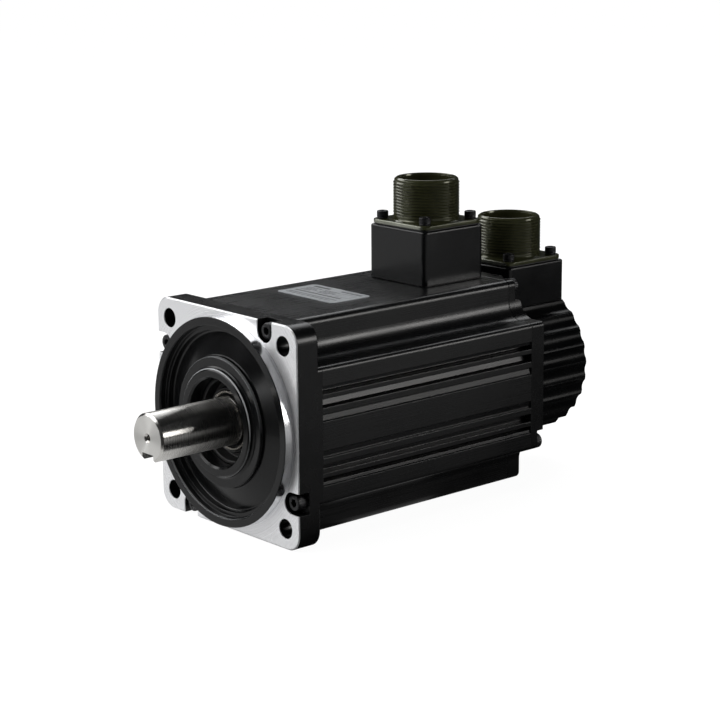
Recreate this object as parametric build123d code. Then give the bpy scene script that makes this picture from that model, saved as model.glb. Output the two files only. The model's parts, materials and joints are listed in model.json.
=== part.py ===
from build123d import *
from collections import namedtuple
import math
import os

# Servo motor with a square mounting flange, a finned housing, a fluted encoder
# cover and two upright round connectors.  Millimetres.
# The origin is the centre of the flange's mounting face, on the shaft axis.  The
# shaft points along -Y (front), the housing runs along +Y (rear) and the
# connectors stand up along +Z.

os.makedirs("parts", exist_ok=True)

# ---- Dimensions shared between pieces ----
FIT = 0.02                   # gap left between touching pieces
ENCODER_FIT = 0.05           # the same between the encoder's pieces

# housing section: a plus shape
BLOCK_X = 34.5               # half width of the upper and lower block
BLOCK_Z = 49.0               # half height of the upper and lower block
SIDE_X = 50.0                # half width over the finned sides
SIDE_Z = 30.8                # half height of the finned sides

# stations along the motor
FLANGE_T = 12.0
COLLAR_END = 14.0            # the flange bracket meets the housing here
HOUSING_END = 143.0
REAR_END = 151.5
REAR_SPIGOT_END = 154.0
COVER_START = REAR_END + 0.6
COVER_END = 196.6

HOUSING_BORE_R = 43.0
LIP_R = HOUSING_BORE_R - 0.1  # bracket lips that enter the housing bore
LIP_BORE_R = 39.3

# bracket screws, in a pinwheel of (x, z) places
SCREW_A = 28.2
SCREW_B = 45.1
PINWHEEL = [(SCREW_A, SCREW_B), (SCREW_B, -SCREW_A),
            (-SCREW_A, -SCREW_B), (-SCREW_B, SCREW_A)]
SCREW_CLEARANCE_R = 2.2
TAPPED_R = 1.7
SLOT_DEPTH = 6.0             # slots in the flange that take the screw heads
REAR_SEAT_Y = 147.4          # the rear corners are cut back to here for the heads
WASHER_T = 1.0               # room for a washer, with FIT at both faces

# oil seal and shaft
SEAL_BORE_R = 20.0
SHAFT_R = 11.0
SEAL_JOURNAL_R = 11.3
ROTOR_SEAT_R = 16.0
ENCODER_JOURNAL_R = 5.0

Bearing = namedtuple("Bearing", "start bore_r outer_r width balls")
FRONT_BEARING = Bearing(start=9.5, bore_r=12.5, outer_r=26.0, width=15.0, balls=9)
REAR_BEARING = Bearing(start=135.5, bore_r=10.0, outer_r=23.5, width=14.0, balls=8)
REAR_BEARING_END = REAR_BEARING.start + REAR_BEARING.width

# stator and rotor
CORE_START, CORE_END = 45.0, 112.0
ROTOR_CORE_R = 27.0

# connector boxes
BOX_HALF = 19.25
POWER_Y, POWER_TOP = 121.9, 75.15
ENCODER_Y, ENCODER_TOP = 177.55, 51.15
GASKET_T = 0.5
PLATE_HOLE = 14.68           # half the spacing of the connector plate's holes
COVER_SEAT_R = 34.9          # round seat on the cover under the encoder box

# sign pairs of the four corners of a rectangle
CORNERS = [(1, 1), (1, -1), (-1, 1), (-1, -1)]


# ---- Shape helpers.  Cutters run past the stock, so their ends are round numbers ----
def cyl_y(radius, y0, y1, x=0.0, z=0.0):
    return Pos(x, (y0 + y1) / 2, z) * Rot(90, 0, 0) * Cylinder(radius, y1 - y0)


def tube_y(outer_r, inner_r, y0, y1):
    return cyl_y(outer_r, y0, y1) - cyl_y(inner_r, y0 - 1, y1 + 1)


def cyl_z(radius, z0, z1, x=0.0, y=0.0):
    return Pos(x, y, (z0 + z1) / 2) * Cylinder(radius, z1 - z0)


def block(x0, x1, y0, y1, z0, z1):
    """Box between two limits per axis, given in either order."""
    centre = Pos((x0 + x1) / 2, (y0 + y1) / 2, (z0 + z1) / 2)
    return centre * Box(abs(x1 - x0), abs(y1 - y0), abs(z1 - z0))


def rounded_wire(corners):
    """Closed wire through (u, v, radius) corners; a missing radius is a sharp corner."""
    count = len(corners)
    arcs = []                # start, middle and end of each corner's arc
    for i in range(count):
        before, corner, after = corners[i - 1], corners[i], corners[(i + 1) % count]
        radius = corner[2] if len(corner) > 2 else 0.0
        u, v = corner[:2]
        back = (before[0] - u, before[1] - v)
        ahead = (after[0] - u, after[1] - v)
        back_len, ahead_len = math.hypot(*back), math.hypot(*ahead)
        back = (back[0] / back_len, back[1] / back_len)
        ahead = (ahead[0] / ahead_len, ahead[1] / ahead_len)
        cosine = back[0] * ahead[0] + back[1] * ahead[1]
        angle = math.acos(max(-1.0, min(1.0, cosine)))
        if radius > 0 and angle < math.pi - 1e-3:
            trim = radius / math.tan(angle / 2)
            bisector = (back[0] + ahead[0], back[1] + ahead[1])
            reach = (radius / math.sin(angle / 2) - radius) / math.hypot(*bisector)
            arcs.append((
                (u + back[0] * trim, v + back[1] * trim, 0),
                (u + bisector[0] * reach, v + bisector[1] * reach, 0),
                (u + ahead[0] * trim, v + ahead[1] * trim, 0),
            ))
        else:
            arcs.append(((u, v, 0), None, (u, v, 0)))
    edges = []
    for i, (start, middle, end) in enumerate(arcs):
        if middle is not None:
            edges.append(ThreePointArc(start, middle, end))
        following = arcs[(i + 1) % count][0]
        if math.dist(end, following) > 1e-6:
            edges.append(Line(end, following))
    return Wire(edges)


def extrude_y(face, y0, y1):
    """Extrude an (x, z) face from y0 to y1."""
    plane = Plane(origin=(0, y0, 0), x_dir=(1, 0, 0), z_dir=(0, -1, 0))
    return extrude(plane * face, amount=-(y1 - y0))


def prism_y(outline, y0, y1):
    return extrude_y(Face(rounded_wire(outline)), y0, y1)


def prism_z(outline, z0, z1, x=0.0, y=0.0):
    """Extrude an (x, y) outline from z0 to z1."""
    return Pos(x, y, z0) * extrude(Face(rounded_wire(outline)), amount=z1 - z0)


def turn_y(profile):
    """Turn an (r, y) profile about the Y axis."""
    return revolve(Face(rounded_wire(profile)), axis=Axis.Y, revolution_arc=360)


def turn_z(profile):
    """Turn an (r, z) profile about the Z axis."""
    return revolve(Plane.XZ * Face(rounded_wire(profile)), axis=Axis.Z, revolution_arc=360)


def torus_y(ring_r, wire_r, y):
    return Pos(0, y, 0) * Rot(90, 0, 0) * Torus(ring_r, wire_r)


def rectangle(half_u, half_v, radius):
    return [(half_u, -half_v, radius), (half_u, half_v, radius),
            (-half_u, half_v, radius), (-half_u, -half_v, radius)]


def around(count, radius, start=0.0):
    """Points evenly spaced on a circle; start is in degrees."""
    angles = [math.radians(start + 360 * k / count) for k in range(count)]
    return [(radius * math.cos(angle), radius * math.sin(angle)) for angle in angles]


def end_edges(part, axis, end):
    """Edges of the first (0) or last (-1) face along an axis."""
    return part.faces().sort_by(axis)[end].edges()


def save(name, *shapes):
    """Write all the solids of the shapes to one STEP file."""
    solids = [solid for shape in shapes for solid in shape.solids()]
    out = solids[0] if len(solids) == 1 else Compound(children=solids)
    out.label = name
    export_step(out, "parts/" + name + ".step")


# ---- Section shared by the housing and both brackets ----
# inset from SIDE_X, z, corner radius
GROOVES = [
    (0.0, 6.4, 0.15), (0.75, 6.95, 0.0), (1.2, 9.5, 0.3), (0.0, 9.75, 0.25),
    (0.0, 12.75, 0.3), (3.7, 12.9, 0.3), (4.4, 16.3, 0.3), (0.1, 16.5, 0.25),
    (0.1, 18.75, 0.25), (5.2, 18.9, 0.4), (5.2, 20.6, 0.4),
    (0.9, 20.75, 0.1), (0.7, 21.9, 0.0), (0.0, 22.3, 0.15),
]
# x, z, corner radius
PLUS_CORNER = [(SIDE_X, SIDE_Z, 2.0), (BLOCK_X, SIDE_Z, 8.6), (BLOCK_X, BLOCK_Z, 3.0)]


def plus_outline(grooved):
    grooves = [(SIDE_X - inset, z, radius) for inset, z, radius in GROOVES]
    quarter = (grooves if grooved else []) + PLUS_CORNER
    outline = []
    for side_x, side_z in ((1, 1), (-1, 1), (-1, -1), (1, -1)):
        # mirrored quarters run the other way
        for x, z, radius in quarter[::side_x * side_z]:
            outline.append((side_x * x, side_z * z, radius))
    return outline


# ---- Socket-cap screws and split washers ----
BRACKET_SCREW = dict(head_r=3.6, head_h=4.0, shank_r=1.62, hex_width=3.2, hex_depth=2.3)
COVER_SCREW = dict(head_r=3.5, head_h=4.0, shank_r=1.62, length=48.0,
                   hex_width=3.2, hex_depth=2.3)
BOARD_SCREW = dict(head_r=1.9, head_h=1.6, shank_r=0.75, length=6.0,
                   hex_width=1.5, hex_depth=0.9)
CONNECTOR_SCREW = dict(head_r=2.75, head_h=3.0, shank_r=1.2, length=9.5,
                       hex_width=2.5, hex_depth=1.6,
                       rim=(0.2, 0.12, 0.3, 0.15), tip_chamfer=0.3)


def cap_screw(place, head_base, head_r, head_h, shank_r, length, hex_width, hex_depth,
              rim=(0.25, 0.15, 0.35, 0.2), tip_chamfer=0.4,
              facing=1, turn=turn_y, prism=prism_y):
    """Screw whose head faces along +axis (facing=1) or -axis (facing=-1).

    rim is the drop and fillet of the head's outer corner, then the inset and
    fillet of its top corner.
    """
    drop, outer_fillet, inset, top_fillet = rim
    top = head_base + facing * head_h
    tip = head_base - facing * length
    root = head_base + facing * 0.2      # the shank overlaps the head
    screw = turn([(0, head_base), (head_r, head_base, 0.1),
                  (head_r, top - facing * drop, outer_fillet),
                  (head_r - inset, top, top_fillet), (0, top)])
    screw += turn([(0, root), (shank_r, root), (shank_r, tip + facing * tip_chamfer),
                   (shank_r - tip_chamfer, tip), (0, tip)])
    low, high = sorted((top - facing * hex_depth, top + facing * 0.5))
    screw -= prism(around(6, hex_width / math.sqrt(3)), low, high)
    return place * screw


def split_washer_y(x, z, y0, y1, inner_r=2.05, outer_r=3.5):
    split = Pos(0, (y0 + y1) / 2, (outer_r + inner_r) / 2) * Box(0.5, 4, outer_r)
    return Pos(x, 0, z) * (tube_y(outer_r, inner_r, y0, y1) - split)


def split_washer_z(x, y, z0, z1, inner_r=1.55, outer_r=2.65):
    washer = cyl_z(outer_r, z0, z1) - cyl_z(inner_r, z0 - 1, z1 + 1)
    split = Pos((outer_r + inner_r) / 2, 0, (z0 + z1) / 2) * Box(outer_r, 0.45, 4)
    return Pos(x, y, 0) * (washer - split)


def bracket_fasteners(screws_name, washers_name, seat_y, facing, length):
    head_base = seat_y + facing * WASHER_T
    y0, y1 = sorted((seat_y + facing * FIT, head_base - facing * FIT))
    save(screws_name, *[
        cap_screw(Pos(x, 0, z), head_base, length=length, facing=facing, **BRACKET_SCREW)
        for x, z in PINWHEEL])
    save(washers_name, *[split_washer_y(x, z, y0, y1) for x, z in PINWHEEL])


# ---- Flange bracket ----
FLANGE_SIDE = 100.0
FLANGE_CORNER_R = 8.0
FLANGE_CHAMFER = 0.5
FLANGE_REAR_FILLET = 0.8
BOLT_CIRCLE = 115.0          # diameter through the mounting holes
BOLT_HOLE_R = 4.5
SLOT_W = 10.0                # open slots for the bracket screws
SLOT_REACH = 60.0            # past the edge of the flange
PILOT_R = 47.5               # spigot
PILOT_H = 5.0
RELIEF_R = 48.55             # shallow relief turned round the foot of the spigot
RELIEF_DEPTH = 0.3
SEAL_SEAT_END = 8.1

# radii and heights of the turned face inside the spigot
RIM_IN = 43.5
LEDGE_Y = -1.8
LEDGE_IN = 41.3
FLOOR_Y = 1.4
CONE_IN_Y = -1.7
STEP_R = 29.6
STEP_Y = -4.4
BOSS_R = 24.7
BOSS_FRONT = -6.7

# r, y, corner radius
FLANGE_FACE = [
    (0.0, 10.5), (PILOT_R, 10.5), (PILOT_R, -PILOT_H, 0.35),
    (RIM_IN + 0.2, -PILOT_H, 0.35), (RIM_IN - 0.2, LEDGE_Y, 0.3),
    (LEDGE_IN, LEDGE_Y, 0.3), (LEDGE_IN - 0.4, FLOOR_Y, 0.8),
    (STEP_R + 0.9, CONE_IN_Y, 0.6), (STEP_R + 0.3, CONE_IN_Y - 0.25, 0.5),
    (STEP_R, STEP_Y, 0.5), (BOSS_R + 0.9, STEP_Y + 0.1, 0.5), (BOSS_R, STEP_Y - 0.4, 0.5),
    (BOSS_R, BOSS_FRONT + 0.8, 0.3), (BOSS_R - 1.0, BOSS_FRONT, 0.3), (0.0, BOSS_FRONT),
]
# cutter for the seal bore with its lead-in, and the bearing seat: r, y, corner radius
FLANGE_BORE = [
    (0, -30), (SEAL_BORE_R + 0.9, -30), (SEAL_BORE_R + 0.9, BOSS_FRONT),
    (SEAL_BORE_R, BOSS_FRONT + 0.9), (SEAL_BORE_R, SEAL_SEAT_END, 0.2),
    (17.0, SEAL_SEAT_END), (17.0, FRONT_BEARING.start),
    (FRONT_BEARING.outer_r, FRONT_BEARING.start), (FRONT_BEARING.outer_r, 60), (0, 60),
]


def front_flange():
    half = FLANGE_SIDE / 2
    bracket = prism_y(rectangle(half, half, FLANGE_CORNER_R), 0.0, FLANGE_T)
    bracket = chamfer(end_edges(bracket, Axis.Y, 0), FLANGE_CHAMFER)
    bracket = fillet(end_edges(bracket, Axis.Y, -1), FLANGE_REAR_FILLET)
    bracket -= cyl_y(RELIEF_R, -2.0, RELIEF_DEPTH)
    # room for the turned centre
    bracket -= cyl_y(45.0, -2.0, 10.0)
    bracket += turn_y(FLANGE_FACE)
    bracket += prism_y(plus_outline(False), FLANGE_T - 1.0, COLLAR_END)
    # bearing boss, then the lip that enters the housing
    bracket += cyl_y(32.0, 11.5, 26.0)
    bracket += tube_y(LIP_R, LIP_BORE_R, 12.5, 18.0)
    bracket -= turn_y(FLANGE_BORE)
    bolt = BOLT_CIRCLE / 2 / math.sqrt(2)
    for side_x, side_z in CORNERS:
        bracket -= cyl_y(BOLT_HOLE_R, -6, 20, side_x * bolt, side_z * bolt)
    half_slot = SLOT_W / 2
    for x, z in PINWHEEL:
        bracket -= cyl_y(half_slot, -3.0, SLOT_DEPTH, x, z)
        # each slot opens through the nearest edge
        if abs(z) > abs(x):
            bracket -= block(x - half_slot, x + half_slot, -3.0, SLOT_DEPTH,
                             z, math.copysign(SLOT_REACH, z))
        else:
            bracket -= block(x, math.copysign(SLOT_REACH, x), -3.0, SLOT_DEPTH,
                             z - half_slot, z + half_slot)
        bracket -= cyl_y(SCREW_CLEARANCE_R, 0, 20, x, z)
    save("front_flange", bracket)


# ---- Stator housing: finned extrusion ----
POWER_BORE_R = 8.0           # opening under the power box
BOX_SCREW_HOLE_R = 1.25
BOX_SCREW_HOLE = 12.9        # half the spacing of the holes under the power box


def stator_housing():
    housing = prism_y(plus_outline(True), COLLAR_END + FIT, HOUSING_END - FIT)
    housing -= cyl_y(HOUSING_BORE_R, 0, 160)
    for x, z in PINWHEEL:
        housing -= cyl_y(TAPPED_R, 0, 34, x, z)
        housing -= cyl_y(TAPPED_R, 126, 160, x, z)
    housing -= cyl_z(POWER_BORE_R, 38, 60, 0, POWER_Y)
    for side_x, side_y in CORNERS:
        housing -= cyl_z(BOX_SCREW_HOLE_R, 44.0, 60,
                         side_x * BOX_SCREW_HOLE, POWER_Y + side_y * BOX_SCREW_HOLE)
    save("stator_housing", housing)


# ---- Rear bracket ----
REAR_SEAT_R = 6.4
REAR_SPIGOT_R = 29.5
REAR_BEARING_BOSS_R = 30.0
REAR_POCKET_END = 150.6      # bearing pocket, with room for the wave spring
COVER_SCREWS = around(4, 27.6, 45)   # (x, z) places


def rear_bracket():
    bracket = prism_y(plus_outline(False), HOUSING_END, REAR_END)
    # either edge treatment may fail on the rounded outline; the edge then stays square
    try:
        rear_face = bracket.faces().sort_by(Axis.Y)[-1]
        bracket = fillet(rear_face.outer_wire().edges(), 0.45)
    except Exception:
        pass
    try:
        front_face = bracket.faces().sort_by(Axis.Y)[0]
        bracket = chamfer(front_face.outer_wire().edges(), 0.3)
    except Exception:
        pass
    # corners cut back round each screw head
    for x, z in PINWHEEL:
        x_in, x_out = x - math.copysign(REAR_SEAT_R, x), math.copysign(70.0, x)
        z_in, z_out = z - math.copysign(REAR_SEAT_R, z), math.copysign(70.0, z)
        bracket -= cyl_y(REAR_SEAT_R, REAR_SEAT_Y, 160, x, z)
        bracket -= block(x, x_out, REAR_SEAT_Y, 160, z_in, z_out)
        bracket -= block(x_in, x_out, REAR_SEAT_Y, 160, z, z_out)
    bracket += tube_y(LIP_R, LIP_BORE_R, 138.5, HOUSING_END + 1)
    bracket += cyl_y(REAR_BEARING_BOSS_R, REAR_BEARING.start, HOUSING_END + 1)
    bracket += cyl_y(REAR_SPIGOT_R, REAR_END - 1, REAR_SPIGOT_END)
    bracket -= cyl_y(REAR_BEARING.outer_r, 100, REAR_POCKET_END)
    bracket -= cyl_y(13.0, 100, 160)
    for x, z in PINWHEEL:
        bracket -= cyl_y(SCREW_CLEARANCE_R, 130, 160, x, z)
    for x, z in COVER_SCREWS:
        bracket -= cyl_y(TAPPED_R, 143.6, 160, x, z)
    save("rear_bracket", bracket)


# ---- Shaft ----
SHAFT_TIP = -43.0
SEAM_TURN = 22.5             # turns the seam of the turned surfaces away from the keyway
KEY_W = 8.0
KEY_BOTTOM = 7.0             # distance of the keyway floor from the axis
KEY_LEN = 28.0
CENTRE_R = 1.4               # centre hole in the tip
CENTRE_MOUTH_R = 2.2
FRONT_JOURNAL_R = FRONT_BEARING.bore_r - 0.01
REAR_JOURNAL_R = REAR_BEARING.bore_r - 0.01
FRONT_BEARING_END = FRONT_BEARING.start + FRONT_BEARING.width

# r, y
SHAFT_PROFILE = [
    (0, SHAFT_TIP), (SHAFT_R - 1.0, SHAFT_TIP), (SHAFT_R, SHAFT_TIP + 1.0), (SHAFT_R, 0.0),
    (SEAL_JOURNAL_R, 0.3), (SEAL_JOURNAL_R, 9.0),
    (FRONT_JOURNAL_R, 9.0), (FRONT_JOURNAL_R, FRONT_BEARING_END),
    (15.5, FRONT_BEARING_END), (15.5, 36.0),
    (ROTOR_SEAT_R, 36.0), (ROTOR_SEAT_R, 126.0),
    (13.0, 126.0), (13.0, REAR_BEARING.start),
    (REAR_JOURNAL_R, REAR_BEARING.start), (REAR_JOURNAL_R, REAR_BEARING_END + 1.0),
    (ENCODER_JOURNAL_R, REAR_BEARING_END + 1.0), (ENCODER_JOURNAL_R, 168.0), (0, 168.0),
]


def shaft():
    body = turn_y(SHAFT_PROFILE).rotate(Axis.Y, SEAM_TURN)
    body -= turn_y([
        (0, SHAFT_TIP - 1), (CENTRE_MOUTH_R, SHAFT_TIP - 1), (CENTRE_MOUTH_R, SHAFT_TIP),
        (CENTRE_R, SHAFT_TIP + 0.9), (CENTRE_R, SHAFT_TIP + 6), (0, SHAFT_TIP + 7)])
    # keyway along the underside, open at the tip and round at its rear end
    key_z = -SHAFT_R - 2
    round_y = SHAFT_TIP + KEY_LEN - KEY_W / 2
    keyway = block(-KEY_W / 2, KEY_W / 2, SHAFT_TIP - 1, round_y, key_z, -KEY_BOTTOM)
    keyway += cyl_z(KEY_W / 2, key_z, -KEY_BOTTOM, 0, round_y)
    save("shaft", body - keyway)


# ---- Rotor and stator ----
POLES = 8
TEETH = 12
MAGNET_R = 29.5
STATOR_BORE_R = 30.6


def rotor():
    core = tube_y(ROTOR_CORE_R, ROTOR_SEAT_R + FIT, CORE_START, CORE_END)
    for x, z in around(POLES, 21.5, 22.5):
        core -= cyl_y(2.6, 0, 200, x, z)
    save("rotor_core", core)

    magnets = tube_y(MAGNET_R, ROTOR_CORE_R + FIT, CORE_START + 0.5, CORE_END - 0.5)
    for k in range(POLES):
        magnets -= Rot(0, 360 / POLES * k, 0) * block(-0.6, 0.6, 0, 200, 20, 40)
    save("rotor_magnets", magnets)


def stator():
    core = tube_y(HOUSING_BORE_R - FIT, 38.4, CORE_START, CORE_END)
    tooth = block(-4.0, 4.0, CORE_START, CORE_END, 31.0, 39.0)
    tooth += block(-6.4, 6.4, CORE_START, CORE_END, 30.4, 32.0)
    for k in range(TEETH):
        core += Rot(0, 360 / TEETH * k, 0) * tooth
    core -= cyl_y(STATOR_BORE_R, 0, 200)
    save("stator_core", core)

    # one coil round each tooth
    coil = block(-6.5, 6.5, CORE_START - 7.0, CORE_END + 7.0, 32.3, 37.9)
    coil -= block(-4.15, 4.15, CORE_START - 0.2, CORE_END + 0.2, 30, 40)
    coil = coil & cyl_y(38.2, 0, 200)
    save("stator_windings", *[Rot(0, 360 / TEETH * k, 0) * coil for k in range(TEETH)])


def power_leads():
    save("power_leads", *[cyl_z(1.5, 39.4, 63.0, x, POWER_Y + y)
                          for x, y in around(4, 3.6, 45)])


# ---- Bearings ----
BALL_R = 3.97
RACE_OFFSET = 2.9            # from the pitch circle to the edge of either ring
CAGE_HALF_T = 1.1
CAGE_HALF_W = 4.9


def bearing(name, size):
    y0, y1 = size.start, size.start + size.width
    middle = y0 + size.width / 2
    pitch_r = (size.bore_r + size.outer_r) / 2
    outer_r = size.outer_r - 0.01
    outer_race, inner_race = pitch_r + RACE_OFFSET, pitch_r - RACE_OFFSET
    outer = turn_y([(outer_race, y0, 0.3), (outer_r, y0, 0.8),
                    (outer_r, y1, 0.8), (outer_race, y1, 0.3)])
    inner = turn_y([(size.bore_r, y0, 0.8), (inner_race, y0, 0.3),
                    (inner_race, y1, 0.3), (size.bore_r, y1, 0.8)])
    groove = torus_y(pitch_r, BALL_R + 0.05, middle)
    save(name + "_outer_ring", outer - groove)
    save(name + "_inner_ring", inner - groove)
    save(name + "_balls", *[Pos(x, middle, z) * Sphere(BALL_R)
                            for x, z in around(size.balls, pitch_r)])
    cage = tube_y(pitch_r + CAGE_HALF_T, pitch_r - CAGE_HALF_T,
                  middle - CAGE_HALF_W, middle + CAGE_HALF_W)
    pocket = Pos(pitch_r, middle, 0) * Rot(0, 90, 0) * Cylinder(BALL_R + 0.06, 8.0)
    for k in range(size.balls):
        cage -= Rot(0, -360 * k / size.balls, 0) * pocket
    save(name + "_cage", cage)


def wave_spring():
    save("rear_wave_spring",
         tube_y(23.3, 19.4, REAR_BEARING_END + 0.05, REAR_BEARING_END + 0.95))


# ---- Oil seal, spring side to the front ----
# r, y, corner radius
SEAL_PROFILE = [
    (SEAL_BORE_R - 0.01, 0.9, 0.4), (18.6, 0.9, 0.3), (18.3, 1.3, 0.2), (18.1, 6.2, 0.5),
    (15.6, 6.2, 0.5), (15.0, 2.6, 0.4), (14.5, 1.5, 0.3), (13.9, 1.9, 0.1),
    (13.2, 3.35, 0.4), (12.1, 2.6, 0.2), (12.0, 1.5, 0.2), (SEAL_JOURNAL_R + 0.06, 3.0, 0.1),
    (12.5, 5.6, 0.3), (13.2, 7.2, 0.3), (14.2, 7.95, 0.2), (SEAL_BORE_R - 0.01, 7.95, 0.4),
]


def oil_seal():
    save("oil_seal", turn_y(SEAL_PROFILE))
    save("seal_garter_spring", torus_y(13.0, 0.8, 1.9))


# ---- Encoder cover ----
FLUTES = 27
TIP_R = 36.8
VALLEY_R = 35.1
TIP_HALF_W = 0.35            # half the flat between two flutes
COVER_CAVITY_R = 31.6
COVER_END_T = 3.6
COUNTERBORE_DEPTH = 4.2


def fluted_face():
    def polar(radius, angle):
        return (radius * math.cos(angle), radius * math.sin(angle), 0)

    pitch = 2 * math.pi / FLUTES
    tip_half = TIP_HALF_W / TIP_R
    edges = []
    for k in range(FLUTES):
        tip = -math.pi / 2 + k * pitch
        next_tip = tip + pitch
        flute_end = polar(TIP_R, next_tip - tip_half)
        edges.append(ThreePointArc(polar(TIP_R, tip + tip_half),
                                   polar(VALLEY_R, tip + pitch / 2), flute_end))
        edges.append(Line(flute_end, polar(TIP_R, next_tip + tip_half)))
    return Face(Wire(edges))


def encoder_cover():
    cover = extrude_y(fluted_face(), COVER_START, COVER_END)
    # a turned blank rounds the rear end
    cover = cover & turn_y([
        (0, COVER_START - 1), (TIP_R + 1.0, COVER_START - 1), (TIP_R + 1.0, COVER_END - 0.9),
        (TIP_R + 0.02, COVER_END - 0.9, 0.4), (TIP_R - 0.9, COVER_END, 0.3), (0, COVER_END)])
    cover -= cyl_y(COVER_CAVITY_R, 100, COVER_END - COVER_END_T)
    # seat for the connector box, cut down to a plain round
    seat_half = BOX_HALF + 0.05
    seat = block(-seat_half, seat_half, ENCODER_Y - seat_half, COVER_END + 5, 10, 60)
    cover -= seat - cyl_y(COVER_SEAT_R, 100, 250)
    cover -= cyl_z(9.0, 20, 60, 0, ENCODER_Y - 1.0)
    # screw bosses along the inside wall, with counterbored heads in the end face
    for x, z in COVER_SCREWS:
        boss = cyl_y(4.6, COVER_START + 3.5, COVER_END - 2.0, x, z)
        cover += boss & cyl_y(33.0, 100, 250)
    for x, z in COVER_SCREWS:
        cover -= cyl_y(SCREW_CLEARANCE_R, 100, 250, x, z)
        cover -= cyl_y(3.9, COVER_END - COUNTERBORE_DEPTH, COVER_END + 1, x, z)
    # shallow turned recess in the end face
    cover -= cyl_y(19.0, COVER_END - 0.8, COVER_END + 1)
    save("encoder_cover", cover)
    save("encoder_cover_gasket", tube_y(35.0, 31.8, REAR_END + FIT, COVER_START - FIT))
    save("encoder_cover_screws", *[
        cap_screw(Pos(x, 0, z), COVER_END - COUNTERBORE_DEPTH, **COVER_SCREW)
        for x, z in COVER_SCREWS])


# ---- Encoder ----
BASE_R = 22.5                # base and circuit board
BASE_END = 157.5
BOARD_START, BOARD_END = 172.0, 173.6
HUB_BORE_R = ENCODER_JOURNAL_R + FIT
HUB_R = 8.0                  # the disc sits on this part of the hub
HUB_FLANGE_END = 164.5
# r, y, corner radius
HUB_PROFILE = [
    (HUB_BORE_R, 158.5), (9.0, 158.5, 0.3), (9.0, 163.0), (12.0, 163.0, 0.2),
    (12.0, HUB_FLANGE_END), (HUB_R, HUB_FLANGE_END), (HUB_R, 167.0, 0.3), (HUB_BORE_R, 167.0),
]
# x0, x1, z0, z1, rear face y
CHIPS = [(-9, 1, -13.5, -7.0, 175.4), (5, 11, -15, -10, 175.0), (-15, -10, 2, 9, 175.6)]


def encoder():
    on_base = BASE_END + ENCODER_FIT
    under_board = BOARD_START - ENCODER_FIT
    on_board = BOARD_END + ENCODER_FIT
    save("encoder_base", tube_y(BASE_R, 12.0, REAR_SPIGOT_END + ENCODER_FIT, BASE_END))
    save("encoder_hub", turn_y(HUB_PROFILE))
    save("encoder_disc", tube_y(18.5, HUB_R + ENCODER_FIT,
                                HUB_FLANGE_END + ENCODER_FIT, 165.35))
    standoffs, screws = [], []
    board = tube_y(BASE_R, 5.6, BOARD_START, BOARD_END)
    for x, z in around(3, 20.3, 30):
        standoffs.append(cyl_y(1.75, on_base, under_board, x, z) - cyl_y(0.8, 165, 175, x, z))
        screws.append(cap_screw(Pos(x, 0, z), on_board, **BOARD_SCREW))
        board -= cyl_y(1.0, 150, 190, x, z)
    save("encoder_standoffs", *standoffs)
    save("encoder_board_screws", *screws)
    save("encoder_circuit_board", board)
    save("encoder_read_head", block(-5, 5, 166.2, under_board, 12.8, 20.6))
    save("encoder_light_source", block(-3, 3, on_base, 163.4, 13.6, 18.0))
    save("encoder_board_chips", *[block(x0, x1, on_board, y1, z0, z1)
                                  for x0, x1, z0, z1, y1 in CHIPS])
    save("encoder_leads", *[cyl_z(0.8, 23.2, 38.5, x, ENCODER_Y + 1.2 + y)
                            for x, y in around(6, 3.2)])


# ---- Connectors ----
PLATE_HALF = 19.05
PLATE_T = 1.9
PLATE_HOLE_R = 1.65
SHELL_H = 19.95              # threaded barrel above the plate
THREAD_R = 15.75
THREAD_ROOT_R = THREAD_R - 0.62
THREAD_PITCH = 1.411
THREAD_TURNS = 11
CONNECTOR_WASHER_T = 0.7


def plate_holes(centre_y):
    return [(side_x * PLATE_HOLE, centre_y + side_y * PLATE_HOLE) for side_x, side_y in CORNERS]


def barrel_profile(bottom, top, rim):
    """(r, z, corner radius) from the plain neck through the ridges to the lip."""
    neck_r = THREAD_R - 0.1
    z = top + 2.7
    profile = [(0, bottom - 9.0), (13.6, bottom - 9.0), (13.6, bottom + 0.5),
               (17.2, bottom + 0.5), (17.2, top), (THREAD_R + 0.3, top, 0.6),
               (neck_r, top + 0.9, 0.4), (neck_r, top + 2.2, 0.3), (THREAD_ROOT_R, z)]
    for _ in range(THREAD_TURNS):
        profile += [(THREAD_ROOT_R, z + 0.12), (THREAD_R, z + THREAD_PITCH * 0.42),
                    (THREAD_R, z + THREAD_PITCH * 0.56),
                    (THREAD_ROOT_R, z + THREAD_PITCH - 0.02)]
        z += THREAD_PITCH
    profile += [(THREAD_ROOT_R, z + 0.05), (THREAD_R - 0.5, z + 0.25, 0.15),
                (THREAD_R - 0.6, rim - 0.8, 0.5), (THREAD_R - 1.6, rim, 0.5),
                (THREAD_R - 2.3, rim, 0.4), (THREAD_R - 2.5, rim - 1.0), (0, rim - 1.0)]
    return profile


def connector_shell(centre_y, bottom, top):
    rim = top + SHELL_H
    plate = prism_z(rectangle(PLATE_HALF, PLATE_HALF, 4.6), bottom, top, 0, centre_y)
    plate = fillet(end_edges(plate, Axis.Z, -1), 0.5)
    plate = fillet(end_edges(plate, Axis.Z, 0), 0.35)
    for x, y in plate_holes(centre_y):
        plate -= cyl_z(PLATE_HOLE_R, bottom - 1, top + 1, x, y)
    shell = plate + Pos(0, centre_y, 0) * turn_z(barrel_profile(bottom, top, rim))
    shell -= cyl_z(13.2, top - 1.0, rim + 5, 0, centre_y)
    shell -= cyl_z(12.6, bottom - 20, rim + 5, 0, centre_y)
    # key on the front of the bore
    shell += block(-1.1, 1.1, centre_y - 13.6, centre_y - 12.2, top + 4.0, rim - 2.0)
    return shell


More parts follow.
